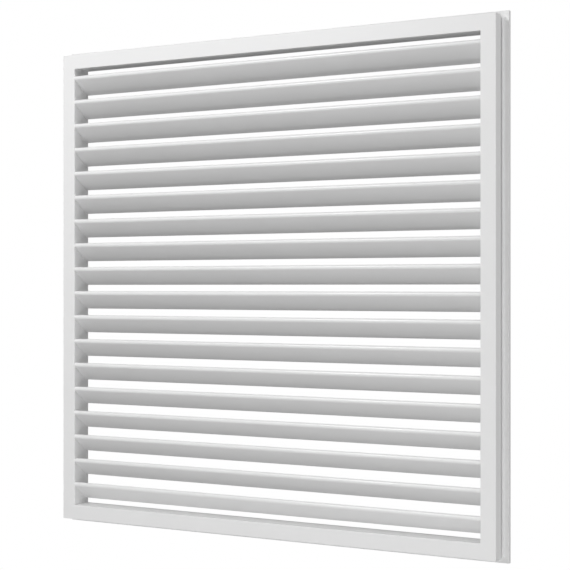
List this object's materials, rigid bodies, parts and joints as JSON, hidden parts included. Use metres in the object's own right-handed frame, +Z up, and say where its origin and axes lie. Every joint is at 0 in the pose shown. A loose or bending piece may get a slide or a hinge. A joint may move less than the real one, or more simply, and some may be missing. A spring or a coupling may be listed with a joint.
{
  "type": "ventilation grille",
  "caption": "Square white louvred wall grille with fixed sloping blades; the front clips over a screw-fixed mounting frame with a flange and an open shadow gap.",
  "frame": {"origin": "centre of the four corner screw holes, in the plane of the wall face", "axes": "+Y into the wall, so the front faces -Y; +Z up; +X to the right as seen from the front"},
  "size_m": [0.4586, 0.0219, 0.4586],
  "materials": {
    "front_plastic": "satin white ABS, finely polished moulding",
    "frame_plastic": "satin white ABS"
  },
  "bodies": {
    "root": {"front_grille": "front_plastic", "mounting_frame": "frame_plastic"}
  },
  "joints": []
}
